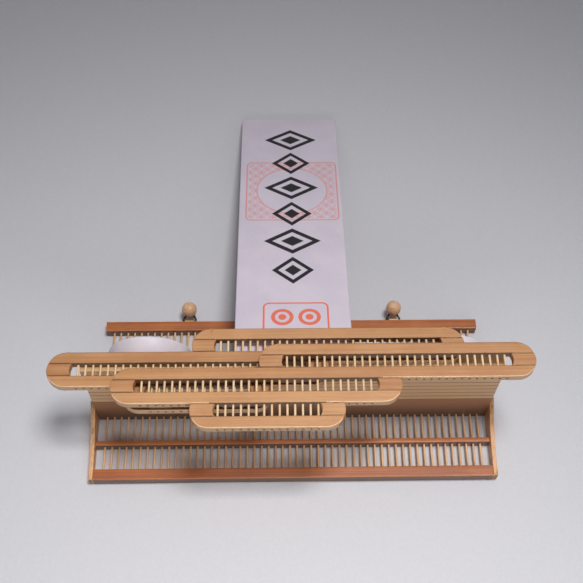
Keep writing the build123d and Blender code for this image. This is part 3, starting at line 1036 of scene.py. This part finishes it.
@dataclass
class CloudFascia(Assembly):
    """The fascia of overlapping clouds: bars, end blocks, fine sticks and hidden spacers."""

    bar_height: float = 7.0
    bar_steps: int = 14
    slot_height: float = 7.5
    end_block_width: float = 12.9
    slot_end_radius: float = 7.0
    edge: float = 0.5
    stick_radius: float = 0.65
    stick_pitch: float = 4.245
    stick_count: int = 49
    stick_clear: float = 2.0
    stick_recess: float = 0.6
    stick_rise: float = 0.5
    hole_clear: float = 0.12
    hole_depth: float = 2.5
    overlap_margin: float = 3.0
    bar_joint_shade: float = 0.45
    block_joint_shade: float = 0.75
    # painted shade on lower edges: stronger on the left, away from the key lamp, than on the right
    # ends
    left_edge_shade: float = 0.55
    edge_shade: float = 0.2
    right_block_shade: float = 0.1
    slot_shade: float = 0.84
    covered_shade: float = 0.75
    clouds: tuple[Cloud, ...] = (
        Cloud("upper_cloud", "rear", 3, -58.5, 98.5),
        Cloud("left_cloud", "rear", 2, -140.0, 20.5),
        Cloud("low_cloud", "rear", 1, -97.0, -11.5),
        Cloud("right_cloud", "front", 2, -19.8, 136.2),
        Cloud("centre_cloud", "front", 1, -101.9, 59.9),
        Cloud("foot_cloud", "front", 0, -57.7, 27.9),
    )

    @property
    def radius(self) -> float:
        """Radius of a cloud's round ends."""
        return self.bar_height + self.slot_height / 2

    def level(self, row: int) -> float:
        """Height of the underside of a bar."""
        return span("front_bar_1")[0].z + row * (self.bar_height + self.slot_height)

    def depth(self, layer: str) -> Point:
        """Front and back of a layer in Y."""
        low, high = span(f"{layer}_bar_1")
        return low.y, high.y

    def slot(self, cloud: Cloud) -> Point:
        """Left and right end of a cloud's slot."""
        return cloud.left + self.end_block_width, cloud.right - self.end_block_width

    def in_layer(self, layer: str) -> list[Cloud]:
        """Clouds of one layer."""
        return [cloud for cloud in self.clouds if cloud.layer == layer]

    def build(self) -> None:
        """Builds both layers and the spacers between them."""
        for layer, seed in (("rear", 21), ("front", 22)):
            rows = [cloud.row for cloud in self.in_layer(layer)]
            for row in range(min(rows), max(rows) + 2):
                self.bar(layer, row, f"{layer}_bar_{row - min(rows) + 1}")
            self.sticks(layer, seed)
        for cloud in self.clouds:
            self.end_blocks(cloud)
        self.spacers()

    def stick_places(self, layer: str) -> list[float]:
        """X of every stick of a layer."""
        left = min(cloud.left for cloud in self.in_layer(layer))
        right = max(cloud.right for cloud in self.in_layer(layer))
        first = (left + right) / 2 - (self.stick_count - 1) / 2 * self.stick_pitch
        return [first + i * self.stick_pitch for i in range(self.stick_count)]

    def rows_at(self, layer: str, x: float) -> list[int]:
        """Rows whose slots a stick at this X crosses."""
        room = self.end_block_width + self.stick_clear
        return [c.row for c in self.in_layer(layer) if c.left + room < x < c.right - room]

    def side_of(self, cloud: Cloud, z: float, sign: int) -> float:
        """X of a cloud's left (-1) or right (1) outline at a height."""
        offset = z - (self.level(cloud.row) + self.radius)
        inset = self.radius - math.sqrt(max(self.radius**2 - offset**2, 0.0))
        return cloud.left + inset if sign < 0 else cloud.right - inset

    def bar_outline(self, layer: str, row: int) -> list[Point]:
        """Outline of a bar in X and Z: its band of the clouds that it belongs to."""
        owners = [c for c in self.in_layer(layer) if row in (c.row, c.row + 1)]
        low = self.level(row)

        def heights(end: Cloud) -> list[float]:
            """Heights of one end's points, closer together where its outline turns."""
            shares = [(i / self.bar_steps) ** 2 for i in range(self.bar_steps + 1)]
            if row == end.row + 1:
                shares = [1 - share for share in reversed(shares)]
            return [low + self.bar_height * share for share in shares]

        first = min(owners, key=lambda c: c.left)
        last = max(owners, key=lambda c: c.right)
        left = [(min(self.side_of(c, z, -1) for c in owners), z) for z in heights(first)]
        right = [(max(self.side_of(c, z, 1) for c in owners), z) for z in heights(last)]
        return left + list(reversed(right))

    def bar(self, layer: str, row: int, name: str) -> None:
        """One level bar with its stick holes open below.

        Args:
            layer: the fascia's layer.
            row: number of the bar, counted from the lowest bar of both layers.
            name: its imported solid.
        """
        front, back = self.depth(layer)
        shape = Shape().prism(self.bar_outline(layer, row), Axis.Y, front, back)
        below = [c for c in self.in_layer(layer) if c.row == row - 1]
        ahead = [c for c in self.in_layer("front") if layer == "rear" and row in (c.row, c.row + 1)]
        covered = (min((c.left for c in ahead), default=0.0),
                   max((c.right for c in ahead), default=0.0))
        if ahead:
            shape.cut_at(covered[0] + self.overlap_margin, covered[1] - self.overlap_margin)
        for cloud in below:
            shape.cut_at(*self.slot(cloud), cloud.left + self.radius, cloud.right - self.radius)
        shape.soften(self.edge, 2, 40).mark_under().shade_joints(self.bar_joint_shade)
        for cloud in below:
            left, right = self.slot(cloud)
            shape.shade_below(cloud.left, left, self.left_edge_shade)
            shape.shade_below(left, right, self.edge_shade)
            shape.shade_below(right, cloud.right, self.edge_shade)
            shape.shade_facing((0, 0, -1), left, right, self.slot_shade)
        shape.shade_facing((0, -1, 0), *covered, self.covered_shade)
        places = [x for x in self.stick_places(layer)
                  if min(self.rows_at(layer, x), default=None) == row]
        low = self.level(row)
        mesh = self.shop.drilled(shape, places, (front + back) / 2, low - 1, low + self.hole_depth,
                                 self.stick_radius + self.hole_clear)
        self.shop.add(f"bamboo_{name}", mesh, "bar", "cloud_bar_bamboo", name)

    def sticks(self, layer: str, seed: int) -> None:
        """Fine sticks through the bars of a layer."""
        middle = sum(self.depth(layer)) / 2
        copies = []
        for x in self.stick_places(layer):
            rows = self.rows_at(layer, x)
            if rows:
                foot = self.level(min(rows)) + self.stick_recess
                head = self.level(max(rows) + 1) + self.stick_rise
                scale = Vector((self.stick_radius, self.stick_radius, head - foot))
                copies.append((Vector((x, middle, foot)), scale))
        mesh = self.shop.sticks(copies, "fine_stick", seed)
        self.shop.add(f"bamboo_{layer}_cloud_sticks", mesh, "fine_stick", "cloud_stick_bamboo",
                      f"{layer}_cloud_sticks")

    def end_blocks(self, cloud: Cloud) -> None:
        """The two blocks that close a cloud's slot, round outside and hollow inside."""
        front, back = self.depth(cloud.layer)
        middle = self.level(cloud.row) + self.bar_height + self.slot_height / 2
        shape = Shape()
        outer, inner = [math.degrees(math.asin(self.slot_height / 2 / radius))
                        for radius in (self.radius, self.slot_end_radius)]
        for sign, end in ((-1, cloud.left), (1, cloud.right)):
            centre = end - sign * self.radius
            hollow = end - sign * (self.end_block_width + self.slot_end_radius)
            outside = arc((0, 0), self.radius, -outer, outer, 12)
            inside = arc((0, 0), self.slot_end_radius, inner, -inner, 10)
            outline = [(centre + sign * x, middle + z) for x, z in outside]
            outline += [(hollow + sign * x, middle + z) for x, z in inside]
            shape.prism(outline, Axis.Y, front, back)
        shape.soften(self.edge, 2, 40).mark_under().shade_joints(self.block_joint_shade)
        left, right = self.slot(cloud)
        shape.shade_below(cloud.left, left, self.left_edge_shade)
        shape.shade_below(right, cloud.right, self.right_block_shade)
        name = f"{cloud.name}_end_blocks"
        self.shop.add(f"bamboo_{name}", shape, "block", "cloud_end_bamboo", name)

    def spacers(self) -> None:
        """Plain blocks between the layers, dressed in place."""
        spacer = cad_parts["layer_spacers"]
        spacer.data.materials.clear()
        spacer.data.materials.append(self.shop.materials["spacer"])
        log.info("layer_spacers: kept with a new finish")


@dataclass
class Hanger(Assembly):
    """One hanger: a strap, the triangular wire ring that it holds, and the ring's pin."""

    side: str
    wire: float = 0.6
    wire_sides: int = 12
    ring_corner: float = 1.3
    ring_half_angle: float = math.radians(32.5)
    sheet: float = 0.6
    strap_edge: float = 0.1
    ball_sides: int = 48
    ball_steps: int = 32
    needle_sides: int = 20
    needle_tip: float = 2.0

    def build(self) -> None:
        """Builds the strap, the ring, the ball and the needle."""
        self.strap()
        self.ring()
        self.ball()
        self.needle()

    def strap(self) -> None:
        """Strap of one thin sheet across the rail that bulges over the ring's lower wire."""
        node = f"{self.side}_hanger_strap"
        low, high = span(node)
        thick, fillet = self.sheet, self.sheet * 0.8
        outer = (high.z - low.z) / 2
        middle, level = (low.y + high.y) / 2, low.z + outer
        foot = low.z + thick + fillet
        side = math.sqrt((outer + fillet) ** 2 - (foot - level) ** 2)
        turn = math.degrees(math.atan2(foot - level, side))
        outline = [
            (low.y, low.z), (low.y, low.z + thick),
            *arc((middle - side, foot), fillet, 270, 360 - turn, 5),
            *arc((middle, level), outer, 180 - turn, turn, 20),
            *arc((middle + side, foot), fillet, 180 + turn, 270, 5),
            (high.y, low.z + thick), (high.y, low.z), (middle + outer - thick, low.z),
            *arc((middle, level), outer - thick, 0, 180, 14), (middle - outer + thick, low.z),
        ]
        shape = Shape().prism(outline, Axis.X, low.x, high.x).soften(self.strap_edge, 1, 60)
        self.shop.add(f"brass_{self.side}_strap", shape, "strap", "hanger_brass", node)

    def ring(self) -> None:
        """Triangular ring of round wire with rounded corners."""
        node = f"{self.side}_hanger_ring"
        low, high = span(node)
        middle, y = (low.x + high.x) / 2, (low.y + high.y) / 2
        base, top = low.z + self.wire, high.z - self.wire
        corner, angle = self.ring_corner, self.ring_half_angle
        apex = top + corner / math.sin(angle) - corner
        half = (apex - base) * math.tan(angle)
        corners = [(middle - half, base), (middle + half, base), (middle, apex)]
        path = self.rounded(corners, corner)
        turns = [2 * math.pi * k / self.wire_sides for k in range(self.wire_sides)]
        rings = []
        for i, point in enumerate(path):
            before, after = path[i - 1], path[(i + 1) % len(path)]
            along = Vector((after[0] - before[0], 0, after[1] - before[1])).normalized()
            side = along.cross(Vector((0, 1, 0)))
            centre = Vector((point[0], y, point[1]))
            rings.append([
                centre + self.wire * (math.cos(t) * side + math.sin(t) * Vector((0, 1, 0)))
                for t in turns
            ])
        shape = Shape().skin(rings, closed=True)
        self.shop.add(f"brass_{self.side}_ring", shape, "brass", "hanger_brass", node)

    def rounded(self, corners: Sequence[Point], radius: float, steps: int = 8) -> list[Point]:
        """Closed path through corners, each replaced by an arc."""
        path: list[Point] = []
        for i, corner in enumerate(corners):
            here = Vector(corner)
            back = (Vector(corners[i - 1]) - here).normalized()
            ahead = (Vector(corners[(i + 1) % len(corners)]) - here).normalized()
            half = back.angle(ahead) / 2
            centre = here + (back + ahead).normalized() * (radius / math.sin(half))
            start = here + back * (radius / math.tan(half)) - centre
            end = here + ahead * (radius / math.tan(half)) - centre
            sweep = math.copysign(start.angle(end), start.x * end.y - start.y * end.x)
            for k in range(steps + 1):
                c, s = math.cos(sweep * k / steps), math.sin(sweep * k / steps)
                path.append((centre.x + start.x * c - start.y * s,
                             centre.y + start.x * s + start.y * c))
        return path

    def ball(self) -> None:
        """Turned ball of the pin."""
        node = f"{self.side}_pin_ball"
        low, high = span(node)
        radius = (high.z - low.z) / 2
        turns = [math.radians(-90 + 180 * i / self.ball_steps) for i in range(self.ball_steps + 1)]
        profile = [(radius * math.cos(t) if abs(math.cos(t)) > TINY else 0.0, radius * math.sin(t))
                   for t in turns]
        shape = Shape().lathe(profile, (low + high) / 2, Axis.Y, self.ball_sides)
        self.shop.add(f"wood_{node}", shape, "ball", "pin_ball_wood", node)

    def needle(self) -> None:
        """Steel needle with a ground point."""
        node = f"{self.side}_pin_needle"
        low, high = span(node)
        radius, tip = (high.z - low.z) / 2, self.needle_tip
        centre = Vector(((low.x + high.x) / 2, 0, (low.z + high.z) / 2))
        profile = [(0.0, low.y), (radius, low.y), (radius, high.y - tip),
                   (radius * 0.62, high.y - tip * 0.5), (radius * 0.2, high.y - 0.1),
                   (0.0, high.y)]
        shape = Shape().lathe(profile, centre, Axis.Y, self.needle_sides)
        self.shop.add(f"steel_{self.side}_needle", shape, "steel", "pin_needle_steel", node)


@dataclass
class Tablet(Assembly):
    """The paper-wrapped tablet, which leans back with its top on the wall."""

    height: float = 240.0
    thickness: float = 6.0
    edge: float = 0.7
    flap: float = 0.22
    flap_overlap: float = 0.1
    flap_left: float = 1.5
    flap_reach: float = 0.42
    flap_inset: float = 1.0
    hollow: float = 0.12
    hollow_cuts: int = 14
    lean_tries: int = 20

    def lean(self, foot_reach: float) -> float:
        """Angle of the tablet from upright in radians, found by repeated tries."""
        angle = math.asin(foot_reach / self.height)
        for _ in range(self.lean_tries):
            angle = math.asin((foot_reach - self.thickness * math.cos(angle)) / self.height)
        return angle

    def build(self) -> None:
        """Builds the wrapped slab, with the paper's overlap down its back."""
        low, high = span("tablet")
        half = (high.x - low.x) / 2
        lean = self.lean(high.y - low.y)
        shape = Shape().box((-half, -self.thickness, 0), (half, -self.flap, self.height))
        shape.soften(self.edge, 3, 60)
        self.crown(shape, half)
        shape.box((-half + self.flap_left, -self.flap - self.flap_overlap, self.flap_inset),
                  (half * self.flap_reach, 0, self.height - self.flap_inset))
        middle = -self.thickness / 2
        fronts = [f for f in shape.faces(lambda n: n.y < -0.9) if f.calc_center_median().y < middle]
        shape.mark(fronts, Mark.SPECIAL)
        face_map = shape.mesh.loops.layers.uv.new(FACE_MAP)
        for face in shape.mesh.faces:
            for loop in face.loops:
                loop[face_map].uv = (loop.vert.co.x * MM, loop.vert.co.z * MM)
        foot = ((low.x + high.x) / 2, -self.height * math.sin(lean), low.z)
        shape.moved(Matrix.Translation(foot) @ Matrix.Rotation(-lean, 4, "X"))
        self.shop.add("paper_tablet", shape.to_mesh("tablet"), "paper", "tablet_paper", "tablet")

    def crown(self, shape: Shape, half: float) -> None:
        """Cuts the front face into a grid and hollows it very slightly, as wrapped paper lies."""
        fronts = shape.faces(lambda n: n.y < -0.99)
        edges = list(dict.fromkeys(e for f in fronts for e in f.edges))
        bmesh.ops.subdivide_edges(shape.mesh, edges=edges, cuts=self.hollow_cuts,
                                  use_grid_fill=True)
        for vert in shape.mesh.verts:
            if vert.co.y < -self.thickness + 1e-4:
                across = max(0.0, 1 - (vert.co.x / (half - self.edge)) ** 2)
                along = max(0.0, 1 - ((vert.co.z - self.height / 2) / (self.height / 2)) ** 2)
                wave = 0.5 + 0.5 * math.sin(vert.co.z * 0.05 + vert.co.x * 0.04)
                vert.co.y += self.hollow * across * along * wave
        bmesh.ops.recalc_face_normals(shape.mesh, faces=shape.mesh.faces[:])


@dataclass
class Dish(Assembly):
    """A small white dish: a foot ring, a curved wall and a rounded rim."""

    side: str
    wall: float = 2.4
    foot_radius: float = 11.0
    foot_height: float = 2.0
    foot_wall: float = 2.2
    foot_round: float = 0.35
    bulge: float = 3.2
    curve_steps: int = 16
    sides: int = 96

    def curve(self, start: Point, end: Point) -> list[Point]:
        """Points of an arc from start to end that bulges outwards."""
        a, b = Vector(start), Vector(end)
        chord = (b - a).length
        outward = Vector(((b - a).y, -(b - a).x)).normalized()
        radius = (chord * chord / 4 + self.bulge * self.bulge) / (2 * self.bulge)
        centre = (a + b) / 2 + outward * (self.bulge - radius)
        first, last = [math.atan2(*(p - centre).yx) for p in (a, b)]
        steps = self.curve_steps
        turns = [first + (last - first) * i / steps for i in range(steps + 1)]
        return [(centre.x + radius * math.cos(t), centre.y + radius * math.sin(t)) for t in turns]

    def build(self) -> None:
        """Builds the dish."""
        node = f"{self.side}_dish"
        low, high = span(node)
        rim, wall = (high.x - low.x) / 2, self.wall
        height = high.z - low.z - wall / 4
        centre = Vector(((low.x + high.x) / 2, (low.y + high.y) / 2, low.z))
        foot, inner_foot = self.foot_radius, self.foot_radius - self.foot_wall
        base, r = self.foot_height, self.foot_round
        floor = base + wall
        inside = self.curve((foot - 1.5, floor), (rim - wall, height - 0.2))
        profile = [
            (0.0, base), (inner_foot - 0.5, base), (inner_foot, base - 0.5), (inner_foot, r),
            (inner_foot + r, 0.0), (foot - r, 0.0), (foot, r), (foot, base - 0.2),
            *self.curve((foot, base), (rim, height - 0.6)),
            (rim - 0.15, height), (rim - 0.6, height + 0.45), (rim - wall / 2, height + 0.6),
            (rim - wall + 0.45, height + 0.4), *reversed(inside),
            (foot * 0.45, floor - 0.15), (0.0, floor - 0.2),
        ]
        shape = Shape().lathe(profile, centre, Axis.Z, self.sides)
        heights = {face: face.calc_center_median().z - centre.z for face in shape.mesh.faces}
        shape.mark([face for face, z in heights.items() if z > height], Mark.EDGE)
        shape.mark([face for face, z in heights.items() if z < 0.4], Mark.SPECIAL)
        self.shop.add(f"glazed_{node}", shape, "glaze", "dish_glaze", node)


@dataclass(frozen=True)
class Lamp:
    """Square soft lamp that looks at a point, in metres, watts and degrees."""

    name: str
    place: Place
    aim: Place
    size: float
    power: float
    spread: float

    def build(self) -> None:
        """Hangs the lamp."""
        data = bpy.data.lights.new(self.name, "AREA")
        data.shape, data.size, data.energy = "SQUARE", self.size, self.power
        data.spread = math.radians(self.spread)
        made = placed(self.name, data)
        made.location = self.place
        way = Vector(self.aim) - Vector(self.place)
        made.rotation_euler = way.to_track_quat("-Z", "Y").to_euler()


@dataclass
class Studio:
    """Camera, wall, floor and lamps; the wall's and floor's sizes are in metres."""

    pitch: float = 29.436
    yaw: float = -1.36
    roll: float = 1.07
    focal_pixels: float = 993.62
    image_pixels: float = 583.0
    axis_pixel: float = 300.2
    place: Place = (-7.88, -589.03, -303.3)
    sensor: float = 36.0
    clip: Point = (0.01, 20.0)
    reach: float = 3.0
    wall_gap: float = 0.0006
    floor_level: float = -0.75
    floor_front: float = -4.0
    floor_back: float = 0.5
    wall_colour: Colour = linear(208, 207, 211)
    surround_colour: Colour = linear(226, 228, 234)
    surround_strength: float = 0.34
    lamps: tuple[Lamp, ...] = (
        Lamp("key", (0.24, -1.55, -0.09), (-0.01, -0.04, -0.30), 0.40, 1.85, 50.0),
        Lamp("below", (0.05, -0.30, -0.80), (0.0, -0.06, -0.08), 0.6, 4.4, 180.0),
    )

    def build(self) -> None:
        """Sets the stage, with large soft lamps and an even pale surround."""
        self.camera()
        self.backdrop()
        for lamp in self.lamps:
            lamp.build()
        world = bpy.data.worlds.new("surround")
        world.use_nodes = True
        background = world.node_tree.nodes["Background"]
        background.inputs["Color"].default_value = (*self.surround_colour, 1.0)
        background.inputs["Strength"].default_value = self.surround_strength
        bpy.context.scene.world = world

    def camera(self) -> None:
        """Camera at the photo's angle, with no depth of field."""
        pitch, yaw, roll = (math.radians(v) for v in (self.pitch, self.yaw, self.roll))
        right = Vector((math.cos(yaw), math.sin(yaw), 0))
        level = Vector((-math.sin(yaw), math.cos(yaw), 0))
        forward = level * math.cos(pitch) + Vector((0, 0, math.sin(pitch)))
        up = Vector((0, 0, math.cos(pitch))) - level * math.sin(pitch)
        turned_right = math.cos(roll) * right - math.sin(roll) * up
        turned_up = math.sin(roll) * right + math.cos(roll) * up
        data = bpy.data.cameras.new("camera")
        data.sensor_width = self.sensor
        data.lens = self.focal_pixels / self.image_pixels * self.sensor
        data.shift_x = (self.image_pixels / 2 - self.axis_pixel) / self.image_pixels
        data.clip_start, data.clip_end = self.clip
        matrix = Matrix((turned_right, turned_up, -forward)).transposed().to_4x4()
        matrix.translation = Vector(self.place) * MM
        camera = placed("camera", data)
        camera.matrix_world = matrix
        bpy.context.scene.camera = camera

    def backdrop(self) -> None:
        """Plain pale wall that is open from behind, and a plain pale floor well below."""
        side, gap, foot = self.reach, self.wall_gap, self.floor_level
        front, back = self.floor_front, self.floor_back
        self.plane("wall", self.wall_material(),
                   [(-side, gap, foot), (side, gap, foot), (side, gap, side), (-side, gap, side)])
        self.plane("floor", self.floor_material(),
                   [(-side, front, foot), (side, front, foot), (side, back, foot),
                    (-side, back, foot)])

    def plane(self, name: str, material: bpy.types.Material, corners: Sequence[Place]) -> None:
        """Stage plane with four corners."""
        mesh = bpy.data.meshes.new(name)
        mesh.from_pydata(corners, [], [(0, 1, 2, 3)])
        mesh.materials.append(material)
        placed(name, mesh)

    def wall_material(self) -> bpy.types.Material:
        """Pale wall with a faint weave; its back lets the view through."""
        surface = Surface("wall_paint")
        fine = surface.full_noise(surface.place, 0.8, 3.0, 0.6)
        colour = surface.mix(fine * 0.35, self.wall_colour, darker(self.wall_colour, 0.9))
        shader = surface.shader({}, colour, 0.9, fine * 0.12, 0.35)
        clear = surface.node("ShaderNodeBsdfTransparent")[0]
        back = surface.node("ShaderNodeNewGeometry")[6]
        both = surface.node("ShaderNodeMixShader", {}, {0: back, 1: shader, 2: clear})[0]
        return surface.finish(both)

    def floor_material(self) -> bpy.types.Material:
        """Pale matt floor."""
        surface = Surface("floor_paint")
        fine = surface.noise(surface.place, 0.02)
        colour = surface.mix(fine, linear(214, 214, 216), linear(206, 206, 209))
        return surface.finish(surface.shader({}, colour, 0.85))


def main() -> None:
    """Builds every sub-assembly in order."""
    logging.basicConfig(level=logging.INFO, format="%(message)s")
    bpy.context.scene.view_settings.view_transform = "Standard"
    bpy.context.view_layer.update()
    shop = Workshop(Palette().build())
    Studio().build()
    assemblies: list[Any] = [
        LatticeBack(shop), Shelf(shop), CloudFascia(shop), Hanger(shop, "left"),
        Hanger(shop, "right"), Tablet(shop), Dish(shop, "left"), Dish(shop, "right"),
    ]
    for assembly in assemblies:
        assembly.build()
        log.info("%s done", type(assembly).__name__)
    log.info("%d pieces", shop.count)


if __name__ == "__main__":
    main()
